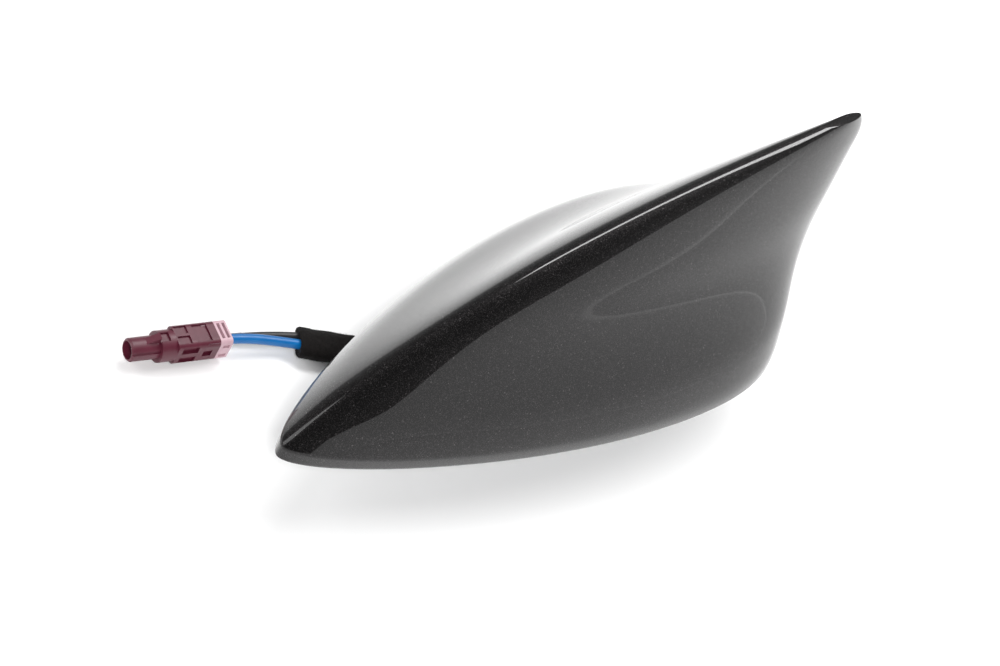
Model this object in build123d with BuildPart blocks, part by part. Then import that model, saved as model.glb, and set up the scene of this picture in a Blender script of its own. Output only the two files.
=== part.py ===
"""Shark-fin roof antenna with its clamp foot, boards and two leads, in millimetres.

The origin is on the clamp bolt's axis in the plane of the vehicle roof. +Z is up
through the roof, +X runs from the nose to the tail, and +Y is the far side.
"""

import os
from math import cos, pi, radians, sin, sqrt, tan

from build123d import *

os.makedirs("parts", exist_ok=True)

# --- cover: overall sizes and its lines -------------------------------------------
cover_length = 179.3
cover_width = 70.4
cover_height = 63.1
cover_wall = 2.4
nose_x = -92.0
rim_z = 0.8
tip_cut = 2.5
tip_round = 4.3

# side profile as shares of the length and the height: ridge, then trailing edge
RIDGE = [(0.0, 0.065), (0.3094, 0.910), (0.8176, 0.895), (1.0, 1.0)]
TAIL = [(1.0, 1.0), (1.0328, 0.558), (0.9400, 0.303), (0.9308, 0.0)]
# half width as a share of the greatest, at shares of the height
WIDTHS = [
    (0.0, 1.0), (0.063, 0.983), (0.127, 0.930), (0.19, 0.860), (0.27, 0.736), (0.365, 0.592),
    (0.475, 0.461), (0.602, 0.352), (0.745, 0.225), (0.887, 0.100), (0.975, 0.026),
]
# a waterline's curve shares at the rim and on top: fullness and reach of its nose curve,
# reach and fullness of its tail curve, and where it is widest
RIM_CURVE = (0.213, 0.441, 0.82, 0.62, 0.746)
TOP_CURVE = (0.55, 0.55, 0.55, 0.55, 0.50)
LEVELS = [0.0, 0.05, 0.10, 0.15, 0.21, 0.28, 0.37, 0.47, 0.58, 0.70, 0.80, 0.87, 0.92]

# --- base plate, seals and foot -----------------------------------------------------
roof_gap = 2.4
plate_thick = 3.0
plate_inset = 3.6
lip_inset = 0.8
seal_outer = 2.8
seal_inner = 6.6
neck_radius = 10.5
neck_length = 5.0
shoulder_radius = 13.0
ring_width = 3.7
pocket_width = 5.6
pocket_wall = 0.85
peg_x = 26.0
peg_radius = 2.5
peg_length = 5.0
slide_gap = 0.3
running_gap = 0.06

# --- clamp ---------------------------------------------------------------------------
bolt_radius = 2.95
bolt_top = 3.0
bolt_hex = 10.0
hex_height = 3.0
flange_radius = 6.0
flange_thick = 1.3
claw_thick = 2.0
claw_front = -4.2
claw_rear = 7.0
claw_half = 9.0
claw_drop = 5.0
leg_width = 4.4
leg_thick = 0.9
leg_reach = 5.2
pivot_y = 7.9
pivot_radius = 0.8
retainer_radius = 4.6
retainer_thick = 0.7

# --- boards --------------------------------------------------------------------------
board_gap = 3.1
board_thick = 1.6
board_front = -46.0
board_rear = 62.0
board_half = 14.5
board_nose_half = 11.0
patch_side = 20.0
patch_thick = 4.0
patch_x = -27.0
can_length = 26.0
can_width = 22.0
can_height = 5.0
can_wall = 0.5
can_x = 1.0
fin_front = 22.0
fin_rear = 64.0
fin_top = 44.0
fin_thick = 1.2

# --- screws and small parts ----------------------------------------------------------
COVER_SCREWS = [(-72.0, 0.0), (-30.0, 18.0), (-30.0, -18.0), (48.0, 24.0), (48.0, -24.0)]
BOARD_SCREWS = [(-42.0, 7.0), (-42.0, -7.0), (56.0, 11.0), (56.0, -11.0)]
boss_radius = 3.2
cover_screw_radius = 1.2
cover_head_radius = 2.3
cover_screw_length = 8.4
head_height = 1.6
board_screw_radius = 1.0
board_head_radius = 2.0
pilot_gap = 0.05
vent_x = 40.0
vent_radius = 3.0

# --- leads -----------------------------------------------------------------------------
lead_diameter = 2.5
lead_x = -6.5
lead_y = 1.7
slot_length = 4.0
slot_width = 7.0
bore_gap = 0.08
wrap_length = 27.0
wrap_width = 9.2
wrap_height = 4.4
wrap_gap = 0.35
wrap_offset = 1.0

BLUE_ROUTE = [
    (-6.5, -1.7, 8.4),
    (-6.5, -1.7, -14.2),
    (-28.3, 17.0, -14.2),
    (-54.3, 33.0, -14.2),
    (-68.41, 39.02, -12.4),
    (-78.44, 41.37, -12.4),
]
BLACK_ROUTE = [
    (-6.5, 1.7, 8.4),
    (-6.5, 1.7, -14.2),
    (-26.7, 19.6, -14.2),
    (-52.7, 35.6, -14.2),
    (-65.5, 40.2, -15.6),
]

# --- connector ---------------------------------------------------------------------------
CONNECTOR_REAR = (-72.6, 40.0, -12.4)
CONNECTOR_AXIS = (-0.973, 0.228, 0.0)
lock_length = 3.4
body_side = 7.4
body_length = 11.3
collar_radius = 3.9
collar_length = 4.1
nose_radius = 2.9
nose_length = 7.5
ramp_height = 1.6
recess_depth = 0.5
socket_radius = 2.25
shell_radius = 2.0
shell_wall = 0.25
pin_radius = 0.45
ferrule_wall = 0.45
ferrule_length = 4.2
end_cap_radius = 1.32
end_cap_length = 2.8

# --- what follows from the sizes above ---------------------------------------------------
plate_z = roof_gap
plate_top = roof_gap + plate_thick
board_z = plate_top + board_gap
board_top = board_z + board_thick
top_z = rim_z + cover_height - tip_cut
claw_top = -neck_length - claw_drop
claw_bottom = claw_top - claw_thick
lead_radius = lead_diameter / 2
pocket_inner = pivot_y - leg_thick / 2 - pocket_wall
pocket_deep = neck_radius + 1.0 - pocket_inner
pocket_mid = pocket_inner + pocket_deep / 2


def bezier(points, t):
    """Return the point at t on a cubic curve given by four control points."""
    s = 1 - t
    k = (s * s * s, 3 * s * s * t, 3 * s * t * t, t * t * t)
    return tuple(sum(w * p[i] for w, p in zip(k, points)) for i in (0, 1))


def share_at(points, h):
    """Return the length share where a rising or falling curve is at height share h."""
    low, high = 0.0, 1.0
    rising = points[-1][1] > points[0][1]
    for _ in range(50):
        mid = (low + high) / 2
        if (bezier(points, mid)[1] < h) == rising:
            low = mid
        else:
            high = mid
    return bezier(points, low)[0]


def width_share(h):
    """Return the half-width share at height share h, by a smooth cubic through WIDTHS."""
    n = len(WIDTHS)
    i = max(k for k in range(n - 1) if WIDTHS[k][0] <= h or k == 0)

    def slope(k):
        a = WIDTHS[max(k - 1, 0)]
        b = WIDTHS[min(k + 1, n - 1)]
        return 0.0 if k == 0 else (b[1] - a[1]) / (b[0] - a[0])

    (h0, w0), (h1, w1) = WIDTHS[i], WIDTHS[i + 1]
    d = h1 - h0
    t = min((h - h0) / d, 1.0)
    return (
        (2 * t**3 - 3 * t**2 + 1) * w0
        + (t**3 - 2 * t**2 + t) * d * slope(i)
        + (3 * t**2 - 2 * t**3) * w1
        + (t**3 - t**2) * d * slope(i + 1)
    )


def level(h):
    """Return the nose x, tail x, half width and the five curve shares at height share h."""
    nose = 0.0 if h <= RIDGE[0][1] else share_at(RIDGE, h)
    tail = share_at(TAIL, h)
    round_from = 0.82
    cut = tip_round * max(0.0, (h - round_from) / (1 - round_from - tip_cut / cover_height)) ** 2
    curve = [low + (high - low) * h for low, high in zip(RIM_CURVE, TOP_CURVE)]
    return (
        nose_x + nose * cover_length,
        nose_x + tail * cover_length - cut,
        cover_width / 2 * width_share(h),
        curve,
    )


def waterline(h, side_inset=0.0, nose_inset=0.0, tail_inset=0.0):
    """Return the four curve edges of a waterline at height share h, set in as asked."""
    front, rear, half, curve = level(h)
    front = front + nose_inset
    rear = rear - tail_inset
    half = half - side_inset
    nose_full, nose_long, tail_long, tail_full, widest = curve
    wide_x = front + widest * (rear - front)
    fore = wide_x - front
    aft = rear - wide_x
    nose_side = [
        (front, 0.0),
        (front, nose_full * half),
        (wide_x - nose_long * fore, half),
        (wide_x, half),
    ]
    tail_side = [
        (wide_x, half),
        (wide_x + tail_long * aft, half),
        (rear, tail_full * half),
        (rear, 0.0),
    ]

    def mirrored(points):
        return [(x, -y) for x, y in reversed(points)]

    chain = [nose_side, tail_side, mirrored(tail_side), mirrored(nose_side)]
    return [Edge.make_bezier(*[Vector(x, y) for x, y in points]) for points in chain]


def outline(inset):
    """Return the rim's waterline set in by one distance all round."""
    return waterline(0.0, inset, inset * 1.5, inset)


def height_at(h):
    """Return the height of share h above the roof plane."""
    return rim_z + h * cover_height


def save(shape, label):
    """Label a finished piece and write it."""
    shape.label = label
    export_step(shape, f"parts/{label}.step")


# --- cover -----------------------------------------------------------------------------
top_share = (top_z - rim_z) / cover_height
with BuildPart() as hull:
    for share in LEVELS + [top_share]:
        with BuildSketch(Plane.XY.offset(height_at(share))):
            make_face(waterline(share))
    loft()

cavity_levels = [0.0, 0.05, 0.09, 0.13, 0.18, 0.24, 0.31, 0.39, 0.48, 0.58, 0.65, 0.72]
with BuildPart() as cavity:
    for share in cavity_levels:
        lift = cover_wall / cover_height
        with BuildSketch(Plane.XY.offset(height_at(share))):
            reach = level(share + lift)[0] - level(share)[0]
            make_face(waterline(share, cover_wall, reach + cover_wall, cover_wall))
    loft(ruled=True)

with BuildPart() as cover_bosses:
    with BuildSketch(Plane.XY.offset(plate_top + pilot_gap)):
        with Locations(*COVER_SCREWS):
            Circle(boss_radius)
    extrude(amount=cover_height)
    add(hull.part, mode=Mode.INTERSECT)

with BuildPart() as cover_shell:
    add(hull.part)
    add(cavity.part, mode=Mode.SUBTRACT)
    with BuildSketch(Plane.XY.offset(rim_z)):
        make_face(outline(seal_outer - slide_gap))
    extrude(amount=roof_gap + slide_gap - rim_z, mode=Mode.SUBTRACT)
    with BuildSketch(Plane.XY.offset(rim_z)):
        make_face(outline(plate_inset - slide_gap))
    extrude(amount=plate_top + slide_gap - rim_z, mode=Mode.SUBTRACT)
    add(cover_bosses.part)
    with BuildSketch(Plane.XY.offset(plate_top)):
        with Locations(*COVER_SCREWS):
            Circle(cover_screw_radius + pilot_gap)
    extrude(amount=cover_screw_length - head_height, mode=Mode.SUBTRACT)
save(cover_shell.part, "cover_shell")

# --- base plate and seals ----------------------------------------------------------------
with BuildPart() as base_plate:
    with BuildSketch(Plane.XY.offset(plate_z)):
        make_face(outline(plate_inset))
    extrude(amount=plate_thick)
    with BuildSketch(Plane.XY):
        Circle(shoulder_radius)
    extrude(amount=plate_z)
    with BuildSketch(Plane.XY):
        Circle(neck_radius)
    extrude(amount=-neck_length)
    with BuildSketch(Plane.XY.offset(plate_z)):
        with Locations((peg_x, 0)):
            Circle(peg_radius + 1.5)
    extrude(amount=-plate_z)
    with BuildSketch(Plane.XY):
        with Locations((peg_x, 0)):
            Circle(peg_radius)
    extrude(amount=-peg_length)
    with BuildSketch(Plane.XY.offset(plate_top)):
        with Locations(*BOARD_SCREWS):
            Circle(boss_radius)
    extrude(amount=board_gap)
    with BuildSketch(Plane.XY.offset(-neck_length)):
        Circle(bolt_radius + running_gap)
    extrude(amount=neck_length + plate_top, mode=Mode.SUBTRACT)
    with BuildSketch(Plane.XY.offset(-neck_length)):
        with Locations((lead_x, 0)):
            Rectangle(slot_length, slot_width)
    extrude(amount=neck_length + plate_top, mode=Mode.SUBTRACT)
    with BuildSketch(Plane.XY.offset(-neck_length)):
        with Locations((0, pocket_mid), (0, -pocket_mid)):
            Rectangle(pocket_width, pocket_deep)
    extrude(amount=neck_length, mode=Mode.SUBTRACT)
    with BuildSketch(Plane.XY.offset(plate_z)):
        with Locations(*COVER_SCREWS):
            Circle(cover_screw_radius + 0.3)
        with Locations((vent_x, 0)):
            Circle(vent_radius)
    extrude(amount=plate_thick, mode=Mode.SUBTRACT)
    with BuildSketch(Plane.XY.offset(plate_z)):
        with Locations(*COVER_SCREWS):
            Circle(cover_head_radius + 0.3)
    extrude(amount=head_height + 0.2, mode=Mode.SUBTRACT)
    with BuildSketch(Plane.XY.offset(board_z)):
        with Locations(*BOARD_SCREWS):
            Circle(board_screw_radius + pilot_gap)
    extrude(amount=-board_gap - 2.0, mode=Mode.SUBTRACT)
save(base_plate.part, "base_plate")

with BuildPart() as perimeter_seal:
    with BuildSketch(Plane.XY):
        make_face(outline(lip_inset))
    extrude(amount=rim_z)
    with BuildSketch(Plane.XY):
        make_face(outline(seal_outer))
    extrude(amount=plate_z)
    with BuildSketch(Plane.XY):
        make_face(outline(seal_inner))
    extrude(amount=plate_z, mode=Mode.SUBTRACT)
save(perimeter_seal.part, "perimeter_seal")

with BuildPart() as neck_seal:
    with BuildSketch(Plane.XY):
        Circle(shoulder_radius + slide_gap + ring_width)
        Circle(shoulder_radius + slide_gap, mode=Mode.SUBTRACT)
    extrude(amount=plate_z)
save(neck_seal.part, "neck_seal")

with BuildPart() as cable_grommet:
    with BuildSketch(Plane.XY.offset(-neck_length)):
        with Locations((lead_x, 0)):
            Rectangle(slot_length - 0.1, slot_width - 0.1)
        with Locations((lead_x, lead_y), (lead_x, -lead_y)):
            Circle(lead_radius + bore_gap, mode=Mode.SUBTRACT)
    extrude(amount=neck_length - 0.5)
save(cable_grommet.part, "cable_grommet")

with BuildPart() as vent_plug:
    with BuildSketch(Plane.XY.offset(plate_z)):
        with Locations((vent_x, 0)):
            Circle(vent_radius)
            Circle(vent_radius - 1.0, mode=Mode.SUBTRACT)
    extrude(amount=plate_thick)
    with BuildSketch(Plane.XY.offset(plate_top)):
        with Locations((vent_x, 0)):
            Circle(vent_radius + 1.0)
    extrude(amount=0.8)
save(vent_plug.part, "vent_plug")

# --- clamp: plate, two legs, bolt and its retainer ----------------------------------------
leg_top = claw_top + leg_reach
with BuildPart() as claw_plate:
    with BuildSketch(Plane.XY.offset(claw_bottom)):
        with Locations(((claw_front + claw_rear) / 2, 0)):
            Rectangle(claw_rear - claw_front, 2 * claw_half)
        Circle(bolt_radius + running_gap, mode=Mode.SUBTRACT)
        with Locations((0, claw_half), (0, -claw_half)):
            Rectangle(leg_width + 2 * slide_gap, 2 * (claw_half - pivot_y + pivot_radius + 1.1), mode=Mode.SUBTRACT)
    extrude(amount=claw_thick)
    pin_centre_z = claw_top - claw_thick / 2
    with Locations((0, pivot_y, pin_centre_z), (0, -pivot_y, pin_centre_z)):
        Cylinder(pivot_radius, leg_width + 3.0, rotation=(0, 90, 0))
save(claw_plate.part, "claw_plate")


def make_leg(side, label):
    """Make one out-turned clamp leg hung on the plate's pin at +Y or -Y."""
    with BuildPart() as leg:
        with BuildSketch(Plane.YZ.offset(-leg_width / 2)):
            with Locations((side * pivot_y, claw_top - claw_thick / 2)):
                Circle(pivot_radius + 0.75)
            with BuildLine():
                Polyline(
                    (side * (pivot_y - leg_thick / 2), claw_top - claw_thick / 2),
                    (side * (pivot_y - leg_thick / 2), leg_top),
                    (side * (pivot_y + 1.9), leg_top),
                    (side * (pivot_y + 1.9), leg_top - leg_thick),
                    (side * (pivot_y + leg_thick / 2), leg_top - leg_thick - 1.2),
                    (side * (pivot_y + leg_thick / 2), claw_top - claw_thick / 2),
                    close=True,
                )
            make_face()
        extrude(amount=leg_width)
        with Locations((0, side * pivot_y, claw_top - claw_thick / 2)):
            Cylinder(pivot_radius + running_gap, leg_width + 1, rotation=(0, 90, 0), mode=Mode.SUBTRACT)
    save(leg.part, label)


make_leg(1, "claw_leg_far")
make_leg(-1, "claw_leg_near")

flange_top = claw_bottom - 0.1
with BuildPart() as clamp_bolt:
    with BuildSketch(Plane.XY.offset(flange_top)):
        Circle(bolt_radius)
    extrude(amount=bolt_top - flange_top)
    chamfer(clamp_bolt.edges().sort_by(Axis.Z)[-1], length=0.8)
    with BuildSketch(Plane.XY.offset(flange_top)):
        Circle(flange_radius)
    extrude(amount=-flange_thick)
    with BuildSketch(Plane.XY.offset(flange_top - flange_thick)):
        RegularPolygon(bolt_hex / 2, 6, major_radius=False)
    extrude(amount=-hex_height)
save(clamp_bolt.part, "clamp_bolt")

with BuildPart() as bolt_retainer:
    with BuildSketch(Plane.XY.offset(claw_top + 0.1)):
        Circle(retainer_radius)
        Circle(bolt_radius, mode=Mode.SUBTRACT)
    extrude(amount=retainer_thick)
save(bolt_retainer.part, "bolt_retainer")

# --- boards -----------------------------------------------------------------------------
with BuildPart() as main_board:
    with BuildSketch(Plane.XY.offset(board_z)):
        with BuildLine():
            Polyline(
                (board_front, -board_nose_half),
                (-24.0, -board_nose_half),
                (-18.0, -board_half),
                (board_rear, -board_half),
                (board_rear, board_half),
                (-18.0, board_half),
                (-24.0, board_nose_half),
                (board_front, board_nose_half),
                close=True,
            )
        make_face()
        with Locations(*BOARD_SCREWS):
            Circle(board_screw_radius + 0.2, mode=Mode.SUBTRACT)
        with Locations((patch_x, 0)):
            Circle(0.7, mode=Mode.SUBTRACT)
    extrude(amount=board_thick)
save(main_board.part, "main_board")

with BuildPart() as gps_patch:
    with BuildSketch(Plane.XY.offset(board_top)):
        with Locations((patch_x, 0)):
            Rectangle(patch_side, patch_side)
            Circle(0.7, mode=Mode.SUBTRACT)
    extrude(amount=patch_thick)
    chamfer(gps_patch.edges().filter_by(Axis.Z).sort_by(SortBy.DISTANCE, reverse=True)[:1], length=1.5)
save(gps_patch.part, "ceramic_patch")

with BuildPart() as gps_electrode:
    with BuildSketch(Plane.XY.offset(board_top + patch_thick)):
        with Locations((patch_x, 0)):
            Rectangle(patch_side - 4.0, patch_side - 4.0)
            Circle(0.7, mode=Mode.SUBTRACT)
    extrude(amount=0.15)
save(gps_electrode.part, "patch_electrode")

with BuildPart() as gps_feed:
    with BuildSketch(Plane.XY.offset(board_z - 0.8)):
        with Locations((patch_x, 0)):
            Circle(0.5)
    extrude(amount=board_thick + patch_thick + 0.95)
    with BuildSketch(Plane.XY.offset(board_top + patch_thick + 0.15)):
        with Locations((patch_x, 0)):
            Circle(1.1)
    extrude(amount=0.5)
save(gps_feed.part, "patch_feed_pin")

with BuildPart() as shield_can:
    with BuildSketch(Plane.XY.offset(board_top)):
        with Locations((can_x, 0)):
            RectangleRounded(can_length, can_width, 1.0)
    extrude(amount=can_height)
    with BuildSketch(Plane.XY.offset(board_top)):
        with Locations((can_x, 0)):
            Rectangle(can_length - 2 * can_wall, can_width - 2 * can_wall)
    extrude(amount=can_height - can_wall, mode=Mode.SUBTRACT)
    with BuildSketch(Plane.XY.offset(board_top + can_height - can_wall)):
        with Locations((can_x, 0)):
            with GridLocations(4.0, 4.0, 5, 4):
                Circle(0.6)
    extrude(amount=can_wall, mode=Mode.SUBTRACT)
save(shield_can.part, "shield_can")

CHIPS = [
    (-14.5, 9.5, 3.0, 3.0, 1.0), (20.0, 9.0, 6.0, 6.0, 1.2), (30.0, -9.0, 5.0, 5.0, 1.0),
    (40.0, 8.5, 4.0, 6.0, 1.4), (48.0, -8.5, 3.0, 3.0, 0.9), (22.0, -8.0, 3.0, 2.0, 0.8),
    (-14.5, -9.5, 2.0, 3.0, 0.8), (33.0, 8.0, 2.0, 2.0, 0.8), (39.0, -10.0, 2.5, 1.6, 0.8),
]
with BuildPart() as board_chips:
    for chip_x, chip_y, chip_l, chip_w, chip_h in CHIPS:
        with BuildSketch(Plane.XY.offset(board_top)):
            with Locations((chip_x, chip_y)):
                Rectangle(chip_l, chip_w)
        extrude(amount=chip_h)
save(board_chips.part, "board_chips")

fin_outline = [
    (fin_front, board_top),
    (fin_rear, board_top),
    (fin_rear + 2.0, fin_top - 6.0),
    (fin_rear - 4.0, fin_top),
    (fin_front + 12.0, fin_top),
    (fin_front, fin_top - 8.0),
]
with BuildPart() as fin_board:
    with BuildSketch(Plane.XZ.offset(-fin_thick / 2)):
        with BuildLine():
            Polyline(*fin_outline, close=True)
        make_face()
    extrude(amount=fin_thick)
save(fin_board.part, "fin_board")

with BuildPart() as fin_radiator:
    with BuildSketch(Plane.XZ.offset(fin_thick / 2)):
        with BuildLine():
            Polyline(
                (fin_front + 14.0, fin_top - 1.5),
                (fin_rear - 5.0, fin_top - 1.5),
                (fin_rear, fin_top - 7.0),
                (fin_rear, fin_top - 10.0),
                (fin_front + 26.0, fin_top - 10.0),
                (fin_front + 26.0, board_top + 9.0),
                (fin_front + 23.0, board_top + 6.0),
                (fin_front + 20.0, board_top + 9.0),
                (fin_front + 20.0, fin_top - 10.0),
                (fin_front + 6.0, fin_top - 10.0),
                close=True,
            )
        make_face()
        with Locations((fin_front + 30.0, fin_top - 5.8)):
            Rectangle(12.0, 1.2, mode=Mode.SUBTRACT)
    extrude(amount=0.15)
save(fin_radiator.part, "fin_radiator")

with BuildPart() as fin_clips:
    for clip_x in (fin_front + 5.0, fin_rear - 5.0):
        for side in (-1, 1):
            with BuildSketch(Plane.XY.offset(board_top)):
                with Locations((clip_x, side * (fin_thick / 2 + 1.5))):
                    Rectangle(4.0, 3.0)
            extrude(amount=1.0)
            with BuildSketch(Plane.XY.offset(board_top + 1.0)):
                with Locations((clip_x, side * (fin_thick / 2 + 0.4))):
                    Rectangle(4.0, 0.8)
            extrude(amount=4.0)
save(fin_clips.part, "fin_clips")


def make_screws(places, head_z, up, shank, radius, head, label):
    """Make pan-head screws whose shank runs up (1) or down (-1) from the head."""
    with BuildPart() as screws:
        with BuildSketch(Plane.XY.offset(head_z)):
            with Locations(*places):
                Circle(head)
        extrude(amount=-up * head_height)
        with BuildSketch(Plane.XY.offset(head_z)):
            with Locations(*places):
                Circle(radius)
        extrude(amount=up * shank)
        with BuildSketch(Plane.XY.offset(head_z - up * head_height)):
            with Locations(*places):
                Rectangle(head * 1.2, 0.5)
                Rectangle(0.5, head * 1.2)
        extrude(amount=up * 0.7, mode=Mode.SUBTRACT)
    save(screws.part, label)


cover_head_z = plate_z + head_height + 0.2
cover_shank = cover_screw_length - head_height - 1.0
make_screws(COVER_SCREWS, cover_head_z, 1, cover_shank, cover_screw_radius, cover_head_radius, "cover_screws")
make_screws(BOARD_SCREWS, board_top, -1, board_thick + board_gap, board_screw_radius, board_head_radius, "board_screws")


# --- leads and the wrap ---------------------------------------------------------------------
def length(a, b):
    """Return the distance between two points."""
    return sqrt(sum((p - q) ** 2 for p, q in zip(a, b)))


def corner_radii(points):
    """Return one bend radius per corner, 0.45 of the shorter run over tan(half turn)."""
    radii = []
    for before, here, after in zip(points, points[1:], points[2:]):
        u = (Vector(*here) - Vector(*before)).normalized()
        v = (Vector(*after) - Vector(*here)).normalized()
        half_turn = radians(u.get_angle(v)) / 2
        radii.append(0.45 * min(length(before, here), length(here, after)) / tan(half_turn))
    return radii


def make_lead(points, label):
    """Sweep one lead along its route and print its radii and its volume check."""
    radii = corner_radii(points)
    with BuildPart() as lead:
        with BuildLine():
            route = FilletPolyline(*points, radius=radii)
        with BuildSketch(Plane(origin=points[0], z_dir=Vector(*points[1]) - Vector(*points[0]))):
            Circle(lead_radius)
        sweep(path=route)
    whole = pi * lead_radius**2 * route.length
    print(label, "length", round(route.length, 2), "radii", [round(r, 1) for r in radii])
    print(label, "volume over section times length", round(lead.part.volume / whole, 4))
    save(lead.part, label)


make_lead(BLUE_ROUTE, "blue_lead")
make_lead(BLACK_ROUTE, "black_lead")

wrap_dir = (Vector(*BLUE_ROUTE[3]) - Vector(*BLUE_ROUTE[2])).normalized()
wrap_mid = (Vector(*BLUE_ROUTE[3]) + Vector(*BLACK_ROUTE[3])) / 2
wrap_side = wrap_dir.cross(Vector(0, 0, 1))
wrap_end = wrap_mid - wrap_dir * 1.0 - wrap_side * wrap_offset
wrap_plane = Plane(origin=wrap_end, x_dir=wrap_side, z_dir=-wrap_dir)
lead_side = length(BLUE_ROUTE[3], BLACK_ROUTE[3]) / 2
with BuildPart() as fleece_wrap:
    with BuildSketch(wrap_plane):
        RectangleRounded(wrap_width, wrap_height, wrap_height / 2 - 0.3)
        with Locations((wrap_offset + lead_side, 0), (wrap_offset - lead_side, 0)):
            Circle(lead_radius + wrap_gap, mode=Mode.SUBTRACT)
    extrude(amount=wrap_length)
save(fleece_wrap.part, "fleece_wrap")

with BuildPart() as lead_collars:
    with BuildSketch(Plane.XY.offset(board_z)):
        with Locations((lead_x, lead_y), (lead_x, -lead_y)):
            Circle(lead_radius + 0.38)
    extrude(amount=-2.4)
    with BuildSketch(Plane.XY.offset(board_z - 0.1)):
        with Locations((lead_x, lead_y), (lead_x, -lead_y)):
            Circle(lead_radius + 0.02)
    extrude(amount=-2.4, mode=Mode.SUBTRACT)
save(lead_collars.part, "lead_collars")

# --- connector on the blue lead -----------------------------------------------------------------
axis = Vector(*CONNECTOR_AXIS).normalized()
rear = Vector(*CONNECTOR_REAR)


def station(along):
    """Return the plane across the connector at a distance forward of its rear face."""
    return Plane(origin=rear + axis * along, x_dir=Vector(0, 0, 1).cross(axis), z_dir=axis)


body_end = lock_length + body_length
collar_end = body_end + collar_length
nose_end = collar_end + nose_length
ferrule_start = lock_length + 0.4
ferrule_end = ferrule_start + ferrule_length
half_side = body_side / 2

with BuildPart() as connector_housing:
    with BuildSketch(station(lock_length)):
        RectangleRounded(body_side, body_side, 1.6)
    extrude(amount=body_length)
    with BuildSketch(station(body_end)):
        Circle(collar_radius)
    extrude(amount=collar_length)
    with BuildSketch(station(collar_end)):
        Circle(nose_radius)
    extrude(amount=nose_length)
    chamfer(connector_housing.faces().sort_by(Axis((0, 0, 0), CONNECTOR_AXIS))[-1].edges(), length=0.4)
    with BuildSketch(station(body_end + 1.6)):
        with Locations((0, half_side)):
            Rectangle(2.6, 1.0)
    extrude(amount=collar_length - 1.6, mode=Mode.SUBTRACT)
    with BuildSketch(station(collar_end)):
        with Locations((nose_radius * cos(radians(25)), nose_radius * sin(radians(25)))):
            Circle(0.35)
        with Locations((nose_radius * cos(radians(-28)), nose_radius * sin(radians(-28)))):
            Circle(0.35)
    extrude(amount=nose_length, mode=Mode.SUBTRACT)
    with BuildSketch(station(ferrule_end)):
        Circle(socket_radius)
    extrude(amount=nose_end - ferrule_end, mode=Mode.SUBTRACT)
    with BuildSketch(station(lock_length)):
        Circle(lead_radius + ferrule_wall + 0.05)
    extrude(amount=ferrule_end - lock_length, mode=Mode.SUBTRACT)
    for start, depth, spots in (
        (body_end - 1.2, -4.4, ((half_side, 1.7), (half_side, -1.7))),
        (body_end - 7.2, -2.4, ((half_side, 0.0),)),
    ):
        with BuildSketch(station(start)):
            with Locations(*spots):
                Rectangle(1.6, 2.0)
            with Locations(*[(-sx, sy) for sx, sy in spots]):
                Rectangle(1.6, 2.0)
        extrude(amount=depth, mode=Mode.SUBTRACT)
    for start, depth, spots, wide in (
        (body_end - 0.4, -3.3, (1.5, -1.5), 2.3),
        (body_end - 5.1, -4.1, (0.0,), 5.0),
    ):
        with BuildSketch(station(start)):
            with Locations(*[(x, half_side) for x in spots], *[(x, -half_side) for x in spots]):
                Rectangle(wide, 2 * recess_depth)
        extrude(amount=depth, mode=Mode.SUBTRACT)
    with BuildSketch(station(lock_length)):
        with Locations((2.75, 2.5), (-2.75, 2.5)):
            Rectangle(1.2, 1.4)
    extrude(amount=3.4, mode=Mode.SUBTRACT)
save(connector_housing.part, "connector_housing")

with BuildPart() as lock_ramp:
    with BuildSketch(Plane(origin=rear, x_dir=axis, z_dir=Vector(0, 0, 1).cross(axis))):
        with BuildLine():
            Polyline(
                (collar_end + 0.05, -nose_radius + 0.4),
                (collar_end + 0.05, -nose_radius - ramp_height),
                (collar_end + 3.6, -nose_radius + 0.1),
                (collar_end + 3.6, -nose_radius + 0.4),
                close=True,
            )
        make_face()
    extrude(amount=0.9, both=True)
    add(connector_housing.part, mode=Mode.SUBTRACT)
save(lock_ramp.part, "latch_ramp")

with BuildPart() as connector_lock:
    with BuildSketch(station(0.0)):
        RectangleRounded(body_side - 0.2, body_side - 0.2, 1.2)
        Circle(lead_radius + 0.5, mode=Mode.SUBTRACT)
    extrude(amount=lock_length - 0.05)
    with BuildSketch(station(lock_length - 0.05)):
        with Locations((2.75, 2.5), (-2.75, 2.5)):
            Rectangle(0.9, 1.1)
    extrude(amount=3.0)
    with BuildSketch(station(0.6)):
        with Locations((half_side, 1.7), (half_side, -1.7), (-half_side, 1.7), (-half_side, -1.7)):
            Rectangle(1.2, 1.1)
    extrude(amount=1.9, mode=Mode.SUBTRACT)
    for start in (0.5, 1.9):
        with BuildSketch(station(start)):
            with Locations((0, half_side), (0, -half_side)):
                Rectangle(4.6, 2.4)
        extrude(amount=0.8, mode=Mode.SUBTRACT)
save(connector_lock.part, "connector_lock")

with BuildPart() as connector_ferrule:
    with BuildSketch(station(ferrule_start)):
        Circle(lead_radius + ferrule_wall)
        Circle(lead_radius + 0.05, mode=Mode.SUBTRACT)
    extrude(amount=ferrule_length - 0.4)
save(connector_ferrule.part, "connector_ferrule")

with BuildPart() as connector_shell:
    with BuildSketch(station(ferrule_end)):
        Circle(socket_radius)
        Circle(pin_radius + 0.9, mode=Mode.SUBTRACT)
    extrude(amount=1.0)
    with BuildSketch(station(ferrule_end + 1.0)):
        Circle(shell_radius)
        Circle(shell_radius - shell_wall, mode=Mode.SUBTRACT)
    extrude(amount=nose_end - ferrule_end - 3.0)
save(connector_shell.part, "contact_shell")

with BuildPart() as connector_insulator:
    with BuildSketch(station(ferrule_end + 1.0)):
        Circle(shell_radius - shell_wall)
        Circle(pin_radius, mode=Mode.SUBTRACT)
    extrude(amount=6.0)
save(connector_insulator.part, "contact_insulator")

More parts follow.
